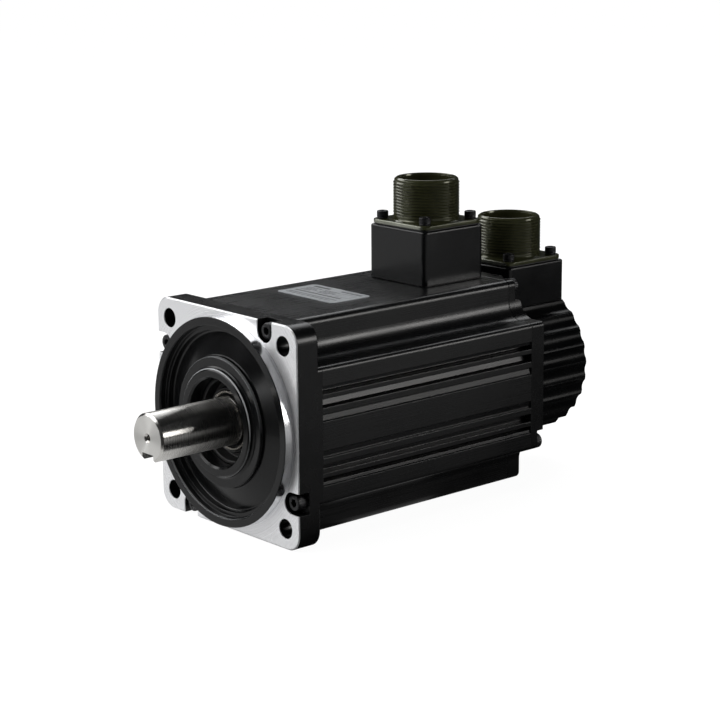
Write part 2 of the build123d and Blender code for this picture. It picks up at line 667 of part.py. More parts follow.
def connector(prefix, centre_y, box_top, pins):
    """Connector on a box; pins are (x, y, radius) from its axis."""
    bottom = box_top + GASKET_T
    top = bottom + PLATE_T
    gasket = prism_z(rectangle(PLATE_HALF - 0.4, PLATE_HALF - 0.4, 4.2),
                     box_top + FIT, bottom - FIT, 0, centre_y)
    gasket -= cyl_z(14.2, box_top - 1, bottom + 1, 0, centre_y)
    for x, y in plate_holes(centre_y):
        gasket -= cyl_z(1.7, box_top - 1, bottom + 1, x, y)
    save(prefix + "_connector_gasket", gasket)
    save(prefix + "_connector_shell", connector_shell(centre_y, bottom, top))

    insert = cyl_z(12.55, bottom - 8.0, top + 5.0, 0, centre_y)
    insert -= block(-1.2, 1.2, centre_y - 14, centre_y - 11.9, top + 3, top + 8)
    pin_bodies = []
    for x, y, radius in pins:
        insert -= cyl_z(radius + FIT, bottom - 20, top + 20, x, centre_y + y)
        pin = cyl_z(radius, bottom - 11.0, top + 12.5, x, centre_y + y)
        pin_bodies.append(fillet(end_edges(pin, Axis.Z, -1), radius * 0.7))
    save(prefix + "_connector_insert", insert)
    save(prefix + "_connector_pins", *pin_bodies)

    head_base = top + CONNECTOR_WASHER_T
    save(prefix + "_connector_screws", *[
        cap_screw(Pos(x, y, 0), head_base, turn=turn_z, prism=prism_z, **CONNECTOR_SCREW)
        for x, y in plate_holes(centre_y)])
    save(prefix + "_connector_washers", *[
        split_washer_z(x, y, top + FIT, head_base - FIT) for x, y in plate_holes(centre_y)])


def pin_ring(count, circle_r, pin_r, start=0.0):
    return [(x, y, pin_r) for x, y in around(count, circle_r, start)]


POWER_PINS = pin_ring(4, 6.6, 1.6, 45)
ENCODER_PINS = [(0.0, 0.0, 0.8)] + pin_ring(6, 4.6, 0.8) + pin_ring(10, 9.0, 0.8, 17.189)


# ---- Connector boxes ----
BOX_CORNER_R = 2.3
BOX_TOP_R = 1.1


def connector_box(top, bottom, centre_y, rear_corner_r):
    outline = [(BOX_HALF, -BOX_HALF, BOX_CORNER_R), (BOX_HALF, BOX_HALF, rear_corner_r),
               (-BOX_HALF, BOX_HALF, rear_corner_r), (-BOX_HALF, -BOX_HALF, BOX_CORNER_R)]
    box = prism_z(outline, bottom, top, 0, centre_y)
    box = fillet(end_edges(box, Axis.Z, -1), BOX_TOP_R)
    box -= cyl_z(16.3, bottom - 5, top - 4.5, 0, centre_y)
    box -= cyl_z(13.8, bottom - 5, top + 5, 0, centre_y)
    for x, y in plate_holes(centre_y):
        box -= cyl_z(1.25, top - 9, top + 1, x, y)
    return box


def power_box():
    save("power_connector_box",
         connector_box(POWER_TOP, BLOCK_Z + GASKET_T, POWER_Y, BOX_CORNER_R))
    gasket = prism_z(rectangle(BOX_HALF - 0.7, BOX_HALF - 0.7, 1.8),
                     BLOCK_Z + FIT, BLOCK_Z + GASKET_T - FIT, 0, POWER_Y)
    save("power_box_gasket", gasket - cyl_z(16.2, 40, 60, 0, POWER_Y))


def encoder_box():
    box = connector_box(ENCODER_TOP, 20.0, ENCODER_Y, 1.3)
    box -= cyl_y(COVER_SEAT_R + 0.05, 100, 250)
    # the round cut can leave loose scraps; only the box is kept
    save("encoder_connector_box", max(box.solids(), key=lambda solid: solid.volume))


def nameplate():
    save("nameplate", prism_z(rectangle(20.0, 11.7, 2.0),
                              BLOCK_Z + 0.01, BLOCK_Z + 0.36, -2.2, 59.4))


# ---- Build ----
front_flange()
bracket_fasteners("flange_screws", "flange_screw_washers", SLOT_DEPTH, facing=-1, length=22.0)
stator_housing()
rear_bracket()
bracket_fasteners("rear_bracket_screws", "rear_screw_washers", REAR_SEAT_Y,
                  facing=1, length=20.0)
shaft()
rotor()
stator()
power_leads()
bearing("front_bearing", FRONT_BEARING)
bearing("rear_bearing", REAR_BEARING)
wave_spring()
oil_seal()
encoder_cover()
encoder()
connector("power", POWER_Y, POWER_TOP, POWER_PINS)
connector("encoder", ENCODER_Y, ENCODER_TOP, ENCODER_PINS)
power_box()
encoder_box()
nameplate()
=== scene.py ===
"""A flanged electric motor with an encoder at its rear end.

The motor axis is Y: the shaft and flange face -Y, the encoder cover faces +Y. The connectors
and the nameplate face +Z. The CAD pieces get their materials here; the screws, the garter
spring and the nameplate printing are modelled. Scene units are metres.
"""
import bpy
import bmesh
import json
import math
import random
from mathutils import Matrix, Vector


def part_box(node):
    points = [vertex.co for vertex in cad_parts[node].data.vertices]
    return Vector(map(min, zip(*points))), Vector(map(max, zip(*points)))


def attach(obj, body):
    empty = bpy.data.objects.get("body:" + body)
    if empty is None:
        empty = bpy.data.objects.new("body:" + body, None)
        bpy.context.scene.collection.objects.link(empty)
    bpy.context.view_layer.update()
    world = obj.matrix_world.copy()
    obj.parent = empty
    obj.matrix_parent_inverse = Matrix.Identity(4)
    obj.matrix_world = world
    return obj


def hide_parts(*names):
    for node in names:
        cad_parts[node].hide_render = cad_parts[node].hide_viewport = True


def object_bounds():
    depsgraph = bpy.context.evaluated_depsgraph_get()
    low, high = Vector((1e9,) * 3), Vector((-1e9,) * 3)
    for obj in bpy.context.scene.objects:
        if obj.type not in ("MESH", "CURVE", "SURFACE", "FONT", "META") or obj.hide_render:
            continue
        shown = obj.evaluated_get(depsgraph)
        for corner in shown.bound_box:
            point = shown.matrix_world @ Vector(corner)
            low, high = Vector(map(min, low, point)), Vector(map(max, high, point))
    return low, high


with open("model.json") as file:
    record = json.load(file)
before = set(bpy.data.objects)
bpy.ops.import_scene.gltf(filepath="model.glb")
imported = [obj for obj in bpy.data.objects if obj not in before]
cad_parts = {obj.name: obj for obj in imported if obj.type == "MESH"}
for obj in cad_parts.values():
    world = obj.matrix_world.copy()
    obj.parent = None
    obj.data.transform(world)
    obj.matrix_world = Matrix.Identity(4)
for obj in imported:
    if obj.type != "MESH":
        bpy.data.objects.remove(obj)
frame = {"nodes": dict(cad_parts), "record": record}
cad_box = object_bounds()
nodes = frame["nodes"]
scene = bpy.context.scene
MM = 0.001
random.seed(7)

# ------------------------------------------------------------------ #
# Shader building blocks
# ------------------------------------------------------------------ #


class Value:
    """A number from a shader node. Arithmetic and comparison on it add Math nodes."""

    def __init__(self, graph, socket):
        self.graph = graph
        self.socket = socket

    def op(self, operation, *others):
        return self.graph.math(operation, self, *others)

    def __add__(self, other):
        return self.op("ADD", other)

    def __sub__(self, other):
        return self.op("SUBTRACT", other)

    def __rsub__(self, other):
        return self.graph.math("SUBTRACT", other, self)

    def __mul__(self, other):
        return self.op("MULTIPLY", other)

    def __lt__(self, other):
        return self.op("LESS_THAN", other)

    def __gt__(self, other):
        return self.op("GREATER_THAN", other)

    def __abs__(self):
        return self.op("ABSOLUTE")

    def remap(self, span=(0.3, 0.7), to=(0.0, 1.0)):
        """Carry the range span onto the range to, clamped. Noise mostly lies in 0.3 to 0.7."""
        made = self.graph.node("ShaderNodeMapRange", {
            "Value": self, "From Min": span[0], "From Max": span[1],
            "To Min": to[0], "To Max": to[1]})
        return Value(self.graph, made.outputs[0])

    def switch(self, off, on):
        """off where this value is 0, on where it is 1."""
        made = self.graph.node("ShaderNodeMix", {"Factor": self, 2: off, 3: on},
                               data_type="FLOAT")
        return Value(self.graph, made.outputs[0])


class Graph:
    """The node tree of a material or world, with short ways to add nodes. Lengths in metres."""

    def __init__(self, owner, output="ShaderNodeOutputMaterial"):
        self.owner = owner
        owner.use_nodes = True
        self.tree = owner.node_tree
        self.tree.nodes.clear()
        self.output = self.node(output)
        self.shared = {}

    def put(self, socket, value):
        if isinstance(value, Value):
            value = value.socket
        if isinstance(value, bpy.types.NodeSocket):
            self.tree.links.new(value, socket)
        else:
            socket.default_value = value

    def node(self, kind, inputs=None, **settings):
        made = self.tree.nodes.new(kind)
        for key, value in settings.items():
            setattr(made, key, value)
        for key, value in (inputs or {}).items():
            self.put(made.inputs[key], value)
        return made

    def common(self, kind, inputs=None):
        """A node that the whole tree shares, made on first use."""
        if kind not in self.shared:
            self.shared[kind] = self.node(kind, inputs)
        return self.shared[kind].outputs

    def position(self):
        return self.common("ShaderNodeTexCoord")["Object"]

    def normal(self):
        return self.common("ShaderNodeNewGeometry")["Normal"]

    def xyz(self):
        parts = self.common("ShaderNodeSeparateXYZ", {0: self.position()})
        return [Value(self, parts[i]) for i in range(3)]

    def math(self, operation, *operands):
        made = self.node("ShaderNodeMath", dict(enumerate(operands)), operation=operation)
        return Value(self, made.outputs[0])

    def dot(self, first, second):
        made = self.node("ShaderNodeVectorMath", {0: first, 1: second}, operation="DOT_PRODUCT")
        return Value(self, made.outputs["Value"])

    def combine(self, x, y=0.0, z=0.0):
        return self.node("ShaderNodeCombineXYZ", {0: x, 1: y, 2: z}).outputs[0]

    def noise(self, scale=1.0, at=None, detail=4.0, rough=0.5):
        made = self.node("ShaderNodeTexNoise", {
            "Vector": self.position() if at is None else at,
            "Scale": scale, "Detail": detail, "Roughness": rough})
        return Value(self, made.outputs["Fac"])

    def streaks(self, density, detail=3, rough=0.6):
        """Noise with its own density per metre along X, Y and Z."""
        mapping = self.node("ShaderNodeMapping", {"Scale": density, "Vector": self.position()})
        return self.noise(at=mapping.outputs[0], detail=detail, rough=rough)

    def mix(self, amount, under, over):
        """The colour under where amount is 0, over where it is 1."""
        under, over = [(*c, 1.0) if isinstance(c, tuple) else c for c in (under, over)]
        made = self.node("ShaderNodeMix", {"Factor": amount, 6: under, 7: over},
                         data_type="RGBA")
        return made.outputs[2]

    def bevel(self, radius):
        return self.node("ShaderNodeBevel", {"Radius": radius}, samples=4).outputs[0]

    def edges(self, radius, span=(0.02, 0.3)):
        """1 on convex and concave edges, 0 on flats, and the rounded normal."""
        rounded = self.bevel(radius)
        return (1.0 - self.dot(rounded, self.normal())).remap(span=span), rounded

    def bump(self, height, depth, strength=0.35, normal=None):
        inputs = {"Strength": strength, "Distance": depth, "Height": height}
        if normal is not None:
            inputs["Normal"] = normal
        return self.node("ShaderNodeBump", inputs).outputs[0]

    def surface(self, colour, rough, metallic=0.0, normal=None, specular=0.5,
                anisotropy=0.0, coat=0.0, coat_rough=0.2):
        inputs = {
            "Base Color": (*colour, 1.0) if isinstance(colour, tuple) else colour,
            "Roughness": rough, "Metallic": metallic, "Specular IOR Level": specular}
        if normal is not None:
            inputs["Normal"] = normal
        if anisotropy:
            # highlights stretch across marks that run round the Y axis
            tangent = self.node("ShaderNodeTangent", direction_type="RADIAL", axis="Y")
            inputs.update({"Anisotropic": anisotropy, "Anisotropic Rotation": 0.25,
                           "Tangent": tangent.outputs[0]})
        if coat:
            inputs.update({"Coat Weight": coat, "Coat Roughness": coat_rough})
        return self.node("ShaderNodeBsdfPrincipled", inputs)

    def mix_shader(self, amount, off, on):
        return self.node("ShaderNodeMixShader",
                         {0: amount, 1: off.outputs[0], 2: on.outputs[0]})

    def done(self, shader):
        self.put(self.output.inputs["Surface"], shader.outputs[0])
        return self.owner


def new_material(name):
    return Graph(bpy.data.materials.new(name))


def shade(colour, factor, lift=0.0):
    """A colour made darker or lighter, held at 1."""
    return tuple(min(1.0, channel * factor + lift) for channel in colour)


def hypot(first, second):
    return (first * first + second * second).op("SQRT")


def band(value, low, high):
    """1 between low and high, 0 outside."""
    return (value > low) * (value < high)


# ------------------------------------------------------------------ #
# Materials
# ------------------------------------------------------------------ #


def edge_wear_and_sheen(mat, edge):
    """Edge wear and painted edge highlight, broken up by fine dust-like noise."""
    dust = mat.noise(scale=420.0, detail=6, rough=0.7)
    return edge * dust.remap(span=(0.35, 0.65), to=(0.3, 1.0))


def black_paint(name, base=(0.0035, 0.0037, 0.0040), rough=0.27, grain=1500.0, wear_and_sheen=0.3,
                specular=0.3):
    """Satin black paint: orange peel, faint mottling, edges paler from wear and painted
    highlight.
    """
    mat = new_material(name)
    edge, rounded = mat.edges(radius=0.0005, span=(0.02, 0.35))
    mottle = mat.noise(scale=60.0, detail=5)
    peel = mat.noise(scale=grain, detail=3)
    worn_and_sheen = edge_wear_and_sheen(mat, edge)
    colour = mat.mix(mottle.remap(span=(0.35, 0.7)),
                     under=shade(base, 0.85), over=shade(base, 1.25))
    # edges painted paler: wear on convex edges and a painted highlight on all edges
    colour = mat.mix(worn_and_sheen * wear_and_sheen, colour, over=(0.10, 0.10, 0.105))
    roughness = (mottle.remap(to=(rough - 0.05, rough + 0.06))
                 + peel.remap(to=(-0.02, 0.02)) - worn_and_sheen * 0.1)
    normal = mat.bump(peel, depth=0.00002, normal=rounded)
    return mat.done(mat.surface(colour, roughness, normal=normal, specular=specular))


def extrusion_black(name):
    """Black anodised extrusion: fine draw lines along the length over a soft grain."""
    mat = new_material(name)
    edge, rounded = mat.edges(radius=0.0004, span=(0.02, 0.35))
    lines = mat.streaks(density=(2600.0, 12.0, 2600.0))
    grain = mat.noise(scale=2300.0, detail=2)
    mottle = mat.noise(scale=45.0, detail=5)
    colour = mat.mix(lines.remap(), under=(0.0035, 0.0037, 0.0040), over=(0.0058, 0.0060, 0.0064))
    # edges painted lighter grey: a painted highlight
    colour = mat.mix(edge * 0.25, colour, over=(0.07, 0.072, 0.075))
    roughness = mottle.remap(to=(0.25, 0.31)) + lines.remap(to=(-0.03, 0.04))
    normal = mat.bump(lines * 0.5 + grain * 0.5, depth=0.000016, strength=0.3, normal=rounded)
    return mat.done(mat.surface(colour, roughness, normal=normal, specular=0.38))


def flange_mat(name):
    """Flange bracket: bare turned face and spigot rim, painted everywhere else."""
    mat = new_material(name)
    x, y, z = mat.xyz()
    radius = hypot(x, z)
    # bare zones: the flange face outside the spigot, and the spigot's rim
    face = (y < 0.00046) * (radius > 0.04753)
    rim = band(radius, low=0.04742, high=0.0487) * (y < 0.0006) * (y > -0.00475)
    bare = face.op("MAXIMUM", rim)

    # paint; turned marks show through it as faint rings on the front
    edge, rounded = mat.edges(radius=0.0003, span=(0.03, 0.28))
    mottle = mat.noise(scale=60.0, detail=5)
    peel = mat.noise(scale=1500.0, detail=3)
    rings = mat.noise(at=mat.combine(radius * 1700.0), detail=3, rough=0.6)
    front = (y < 0.003) * (radius < 0.0475)
    colour = mat.mix(mottle.remap(span=(0.35, 0.7)),
                     under=(0.0033, 0.0035, 0.0038), over=(0.0050, 0.0052, 0.0056))
    worn_and_sheen = edge_wear_and_sheen(mat, edge)
    # edges painted paler, most on the front where they turn bare metal: wear and a painted
    # highlight
    colour = mat.mix(worn_and_sheen * front.switch(off=0.3, on=0.9), colour, over=(0.30, 0.30, 0.31))
    # painted highlights: pale rings on the innermost lip, the step behind it and the inner edge
    # of the rim, each fading with height round its ring
    lip_highlight = (band(radius, low=0.02425, high=0.0249) * (y < -0.0058)
           * z.remap(span=(-0.004, 0.012), to=(0.15, 1.0)))
    colour = mat.mix(lip_highlight, colour, over=(0.42, 0.43, 0.44))
    step_highlight = band(radius, low=0.02935, high=0.02975) * z.remap(span=(0.0, 0.02), to=(0.05, 0.8))
    colour = mat.mix(step_highlight, colour, over=(0.20, 0.205, 0.21))
    rim_edge_highlight = (band(radius, low=0.0433, high=0.04375)
                * z.remap(span=(-0.03, 0.0), to=(0.8, 0.1)) * (y < -0.0040))
    colour = mat.mix(rim_edge_highlight, colour, over=(0.25, 0.255, 0.26))
    roughness = (front.switch(off=0.25, on=0.2) + mottle.remap(to=(-0.04, 0.05))
                 - worn_and_sheen * 0.08)
    normal = mat.bump(peel * 0.4 + rings * front * 0.5, depth=0.00002, normal=rounded)
    paint = mat.surface(colour, roughness, metallic=worn_and_sheen * front * 0.8, normal=normal,
                        specular=front.switch(off=0.3, on=0.24))

    # bare metal, turned in fine rings
    turned = mat.noise(at=mat.combine(radius * 5200.0, z=y * 5200.0), detail=4, rough=0.65)
    broad = mat.noise(scale=28.0, detail=3)
    colour = mat.mix(turned.remap(), under=(0.78, 0.785, 0.80), over=(0.93, 0.935, 0.95))
    roughness = (turned.remap(to=(0.17, 0.25)) + broad.remap(to=(-0.03, 0.03))
                 + face * 0.08)
    metal_part = mat.surface(colour, roughness, metallic=face.switch(off=1.0, on=0.62),
                             normal=mat.bump(turned, depth=0.000012, normal=rounded),
                             anisotropy=face.switch(off=0.5, on=0.3))
    return mat.done(mat.mix_shader(bare, off=paint, on=metal_part))


def ground_steel(name):
    """Ground shaft steel: fine marks round the axis; the end faces are turned."""
    base = (0.60, 0.59, 0.565)
    rough = 0.27
    mat = new_material(name)
    x, y, z = mat.xyz()
    radius = hypot(x, z)
    edge, rounded = mat.edges(radius=0.00025)
    ground = mat.streaks(density=(60.0, 7000.0, 60.0), rough=0.7)
    smear = mat.noise(scale=40.0, detail=5, rough=0.6)
    turned = mat.noise(at=mat.combine(radius * 6500.0, y * 500.0), detail=3, rough=0.6)
    end_face = abs(mat.dot(mat.normal(), (0.0, 1.0, 0.0))) > 0.9
    marks = end_face.switch(off=ground, on=turned)
    colour = mat.mix(marks.remap(), under=shade(base, 0.93), over=shade(base, 1.06))
    colour = mat.mix(smear.remap(span=(0.35, 0.75), to=(0.0, 0.12)), colour,
                     over=shade(base, 0.7))
    # painted light: the end faces are painted paler than the ground side
    colour = mat.mix(end_face * 0.5, colour, over=(0.86, 0.855, 0.83))
    # painted shade: the sealing journal inside the collar is painted dark
    journal_shade = (y > -0.0002) * (radius > 0.01095)
    colour = mat.mix(journal_shade * 0.85, colour, over=(0.05, 0.048, 0.045))
    # edges painted near white: a painted highlight
    colour = mat.mix(edge * 0.3, colour, over=(0.9, 0.9, 0.9))
    roughness = (end_face.switch(off=rough, on=rough + 0.06)
                 + marks.remap(to=(-0.03, 0.05)) * end_face.switch(off=0.2, on=1.0)
                 + smear.remap(to=(-0.01, 0.015)))
    normal = mat.bump(marks * end_face.switch(off=0.15, on=1.0),
                      depth=0.000004, strength=0.25, normal=rounded)
    return mat.done(mat.surface(colour, roughness, metallic=1.0, normal=normal,
                                anisotropy=end_face.switch(off=0.88, on=0.82)))


def olive_plating(name):
    """Olive drab plating on an aluminium shell; edges paler from wear and painted highlight, and
    a painted highlight on the front of each mounting plate.
    """
    plate_heights = (0.0766, 0.0526)  # z of the two mounting plates
    plate_half = 0.0009  # half the height of the pale strip on each
    gap_x = 0.0085  # the strip is left out only at exactly this distance from x = 0
    mat = new_material(name)
    edge, rounded = mat.edges(radius=0.00012, span=(0.01, 0.22))
    mottle = mat.noise(scale=150.0, detail=6, rough=0.65)
    fine = mat.noise(scale=1900.0, detail=3)
    patches = mat.noise(scale=500.0, detail=5, rough=0.7)
    worn_and_sheen = edge * patches.remap(span=(0.35, 0.62), to=(0.7, 1.0))
    colour = mat.mix(mottle.remap(span=(0.3, 0.72)),
                     under=(0.030, 0.032, 0.013), over=(0.052, 0.054, 0.024))
    # edges painted paler: wear and a painted highlight
    colour = mat.mix(worn_and_sheen * 0.45, colour, over=(0.25, 0.25, 0.19))
    # painted highlight: the front (-Y) edge of each mounting plate is painted pale and more
    # metallic
    x, _, z = mat.xyz()
    facing = mat.node("ShaderNodeSeparateXYZ", {0: mat.normal()})
    faces_front = Value(mat, facing.outputs[1]) < -0.85
    upper, lower = [abs(z - height) < plate_half for height in plate_heights]
    plate_front_highlight = (faces_front * (abs(abs(x) - gap_x) > 0.0)
            * (upper + lower).op("MINIMUM", 1.0))
    colour = mat.mix(plate_front_highlight * mottle.remap(to=(0.6, 1.0)), colour, over=(0.28, 0.29, 0.245))
    roughness = mottle.remap(to=(0.16, 0.22)) + fine.remap(to=(-0.02, 0.02))
    return mat.done(mat.surface(
        colour, roughness, metallic=plate_front_highlight.switch(off=0.35, on=0.75), specular=0.55,
        normal=mat.bump(fine, depth=0.000012, strength=0.25, normal=rounded)))


def black_oxide(name, rough=0.3):
    """Oiled black oxide on steel fasteners."""
    mat = new_material(name)
    edge, rounded = mat.edges(radius=0.0002)
    mottle = mat.noise(scale=700.0, detail=5)
    colour = mat.mix(mottle.remap(), under=(0.008, 0.008, 0.009), over=(0.018, 0.018, 0.02))
    # edges painted pale grey: a painted highlight, as on the head rims
    colour = mat.mix(edge * 0.8, colour, over=(0.30, 0.30, 0.31))
    normal = mat.bump(mat.noise(scale=3500.0, detail=2),
                      depth=0.00001, strength=0.25, normal=rounded)
    return mat.done(mat.surface(colour, mottle.remap(to=(rough - 0.06, rough + 0.08)),
                                metallic=0.45, normal=normal))


def metal(name, base, rough, grain, anisotropy=0.0):
    """Bare metal; grain is the density of its marks per metre along X, Y and Z."""
    mat = new_material(name)
    edge, rounded = mat.edges(radius=0.0003)
    marks = mat.streaks(density=grain, detail=4)
    smear = mat.noise(scale=90.0, detail=5)
    colour = mat.mix(marks.remap(), under=shade(base, 0.85), over=shade(base, 1.12))
    # edges painted lighter: a painted highlight
    colour = mat.mix(edge * 0.3, colour, over=shade(base, 1.35))
    roughness = marks.remap(to=(rough - 0.04, rough + 0.05)) + smear.remap(to=(-0.03, 0.04))
    return mat.done(mat.surface(colour, roughness, metallic=1.0, anisotropy=anisotropy,
                                normal=mat.bump(marks, depth=0.000008, normal=rounded)))


def plastic(name, base, rough, grain=1800.0, depth=0.00002):
    """Plastic or rubber with a fine moulded grain."""
    mat = new_material(name)
    edge, rounded = mat.edges(radius=0.0003)
    fine = mat.noise(scale=grain, detail=3)
    mottle = mat.noise(scale=80.0, detail=4)
    colour = mat.mix(mottle.remap(), under=shade(base, 0.85), over=shade(base, 1.2))
    # edges painted lighter: a painted highlight
    colour = mat.mix(edge * 0.2, colour, over=shade(base, 2.0, lift=0.02))
    roughness = fine.remap(to=(rough - 0.05, rough + 0.05)) + mottle.remap(to=(-0.03, 0.03))
    return mat.done(mat.surface(colour, roughness,
                                normal=mat.bump(fine, depth=depth, normal=rounded)))


def laminations(name):
    """Stacked sheet steel: half-millimetre plates along the axis, slightly uneven in shade."""
    plates_per_metre = 2000.0
    gap_share = 0.14  # part of each plate's pitch that is gap
    mat = new_material(name)
    y = mat.xyz()[1]
    gap = (y * plates_per_metre).op("FRACT") < gap_share
    plate = (y * plates_per_metre).op("FLOOR")
    tone = mat.node("ShaderNodeTexWhiteNoise", noise_dimensions="1D")
    mat.put(tone.inputs["W"], plate)
    rust = mat.noise(scale=300.0, detail=6, rough=0.7)
    colour = mat.mix(tone.outputs[0], under=(0.26, 0.26, 0.27), over=(0.40, 0.40, 0.41))
    colour = mat.mix(gap, colour, over=(0.03, 0.03, 0.032))
    colour = mat.mix(rust.remap(span=(0.58, 0.75), to=(0.0, 0.4)), colour,
                     over=(0.16, 0.10, 0.06))
    return mat.done(mat.surface(colour, rust.remap(to=(0.35, 0.5)), metallic=0.9,
                                normal=mat.bump(1.0 - gap, depth=0.00005, strength=0.6)))


def copper_wire(name):
    """Enamelled copper wire: close strands running along and over the teeth."""
    mat = new_material(name)
    x, _, z = mat.xyz()
    layers = (hypot(x, z) * 9000.0).op("SINE")
    strands = (z.op("ARCTAN2", x) * 260.0).op("SINE")
    tone = mat.noise(scale=200.0)
    colour = mat.mix(tone.remap(), under=(0.50, 0.17, 0.06), over=(0.72, 0.30, 0.11))
    normal = mat.bump(abs(layers) + abs(strands) * 0.5, depth=0.0002, strength=0.6)
    return mat.done(mat.surface(colour, rough=0.28, metallic=0.7, normal=normal,
                                coat=0.6, coat_rough=0.12))


def board(name):
    """Circuit board: green lacquer over copper tracks, pale pads."""
    mat = new_material(name)
    x, _, z = mat.xyz()
    tracks = mat.node("ShaderNodeTexBrick", {
        "Vector": mat.combine(x, z), "Scale": 900.0, "Mortar Size": 0.03},
        offset=0.5).outputs["Fac"]
    dots = mat.node("ShaderNodeTexVoronoi", {"Vector": mat.combine(x, z), "Scale": 620.0})
    pads = Value(mat, dots.outputs["Distance"]) < 0.18
    tone = mat.noise(scale=500.0)
    colour = mat.mix(tracks, under=(0.02, 0.13, 0.05), over=(0.05, 0.24, 0.09))
    colour = mat.mix(pads, colour, over=(0.72, 0.70, 0.62))
    return mat.done(mat.surface(colour, tone.remap(to=(0.22, 0.34)), coat=0.4,
                                normal=mat.bump(tracks, depth=0.00003, strength=0.5)))


def glass_disc(name):
    """Encoder disc: clear glass with a ring of fine dark radial lines."""
    mat = new_material(name)
    x, _, z = mat.xyz()
    lines = (z.op("ARCTAN2", x) * 256.0).op("SINE") > 0.0
    dark = lines * band(hypot(x, z), low=0.0145, high=0.0172)
    smear = mat.noise(scale=120.0, detail=5)
    colour = mat.mix(dark, under=(0.80, 0.86, 0.88), over=(0.02, 0.02, 0.025))
    glass = mat.surface(colour, smear.remap(to=(0.03, 0.10)))
    mat.put(glass.inputs["Transmission Weight"], dark.switch(off=0.85, on=0.0))
    return mat.done(glass)


def foil(name):
    """Satin printed foil with a brushed grain across it."""
    mat = new_material(name)
    brushed = mat.streaks(density=(45.0, 4200.0, 60.0))
    mottle = mat.noise(scale=70.0)
    colour = mat.mix(brushed.remap(), under=(0.27, 0.285, 0.30), over=(0.36, 0.375, 0.39))
    roughness = brushed.remap(to=(0.36, 0.46)) + mottle.remap(to=(-0.03, 0.03))
    normal = mat.bump(brushed, depth=0.00001, strength=0.3, normal=mat.bevel(radius=0.0003))
    return mat.done(mat.surface(colour, roughness, metallic=0.35, normal=normal))


def ink(name):
    """Dark printing ink, slightly uneven."""
    mat = new_material(name)
    fine = mat.noise(scale=2600.0, rough=0.7)
    colour = mat.mix(fine.remap(span=(0.35, 0.65)),
                     under=(0.018, 0.019, 0.021), over=(0.05, 0.052, 0.055))
    return mat.done(mat.surface(colour, fine.remap(to=(0.4, 0.55)),
                                normal=mat.bump(fine, depth=0.000008, strength=0.3)))


EVEN = (500.0, 500.0, 500.0)  # metal grain with no direction
materials = {
    "paint": black_paint("paint_black_satin"),
    "box_paint": black_paint("paint_black_box", base=(0.0036, 0.0039, 0.0043), rough=0.2,
                             grain=1900.0, wear_and_sheen=0.25),
    "cover_paint": black_paint("paint_black_cover", base=(0.0026, 0.0028, 0.003), rough=0.24,
                               wear_and_sheen=0.25, specular=0.07),
    "extrusion": extrusion_black("anodised_black"),
    "flange": flange_mat("flange_paint_and_bare"),
    "shaft": ground_steel("shaft_ground_steel"),
    "olive": olive_plating("olive_drab_plating"),
    "screw": black_oxide("black_oxide_screws"),
    "washer": black_oxide("black_oxide_washers", rough=0.42),
    "spring": metal("spring_bright_steel", base=(0.78, 0.74, 0.68), rough=0.2,
                    grain=(400.0, 400.0, 400.0)),
    "steel": metal("bearing_steel", base=(0.56, 0.56, 0.57), rough=0.16,
                   grain=(60.0, 5000.0, 60.0), anisotropy=0.4),
    "ball": metal("ball_polished_steel", base=(0.70, 0.70, 0.72), rough=0.07, grain=EVEN),
    "cage": metal("cage_pressed_brass", base=(0.62, 0.47, 0.22), rough=0.3, grain=EVEN),
    "brass": metal("contact_plated", base=(0.80, 0.64, 0.33), rough=0.2,
                   grain=(900.0, 900.0, 300.0)),
    "alu": metal("aluminium_turned", base=(0.72, 0.72, 0.74), rough=0.3,
                 grain=(80.0, 4000.0, 80.0), anisotropy=0.4),
    "magnet": metal("magnet_nickel", base=(0.52, 0.51, 0.49), rough=0.24,
                    grain=(300.0, 300.0, 300.0)),
    "rubber": plastic("seal_rubber", base=(0.012, 0.012, 0.012), rough=0.5,
                      grain=2200.0, depth=0.00003),
    "gasket": plastic("gasket_rubber", base=(0.018, 0.018, 0.018), rough=0.62,
                      grain=1600.0, depth=0.00004),
    "plastic": plastic("insert_black_plastic", base=(0.012, 0.012, 0.013), rough=0.42),
    "wire": plastic("wire_jacket_red", base=(0.30, 0.02, 0.015), rough=0.36, grain=900.0),
    "lams": laminations("lamination_stack"),
    "copper": copper_wire("enamelled_copper"),
    "board": board("circuit_board"),
    "glass": glass_disc("encoder_glass"),
    "foil": foil("nameplate_foil"),
    "ink": ink("nameplate_ink"),
}

# material: the CAD pieces that wear it; any piece not listed wears "paint"
WORN_BY = {
    "flange": "front_flange",
    "extrusion": "stator_housing",
    "cover_paint": "encoder_cover",
    "box_paint": "power_connector_box encoder_connector_box",
    "screw": "flange_screws rear_bracket_screws encoder_cover_screws"
             " power_connector_screws encoder_connector_screws",
    "washer": "flange_screw_washers rear_screw_washers"
              " power_connector_washers encoder_connector_washers",
    "shaft": "shaft",
    "lams": "rotor_core stator_core",
    "magnet": "rotor_magnets",
    "copper": "stator_windings",
    "wire": "power_leads encoder_leads",
    "steel": "front_bearing_outer_ring front_bearing_inner_ring"
             " rear_bearing_outer_ring rear_bearing_inner_ring encoder_board_screws",
    "ball": "front_bearing_balls rear_bearing_balls",
    "cage": "front_bearing_cage rear_bearing_cage",
    "spring": "rear_wave_spring seal_garter_spring",
    "rubber": "oil_seal",
    "gasket": "encoder_cover_gasket power_connector_gasket encoder_connector_gasket"
              " power_box_gasket",
    "alu": "encoder_base encoder_hub",
    "glass": "encoder_disc",
    "brass": "encoder_standoffs power_connector_pins encoder_connector_pins",
    "board": "encoder_circuit_board",
    "plastic": "encoder_read_head encoder_light_source encoder_board_chips"
               " power_connector_insert encoder_connector_insert",
    "olive": "power_connector_shell encoder_connector_shell",
    "foil": "nameplate",
}
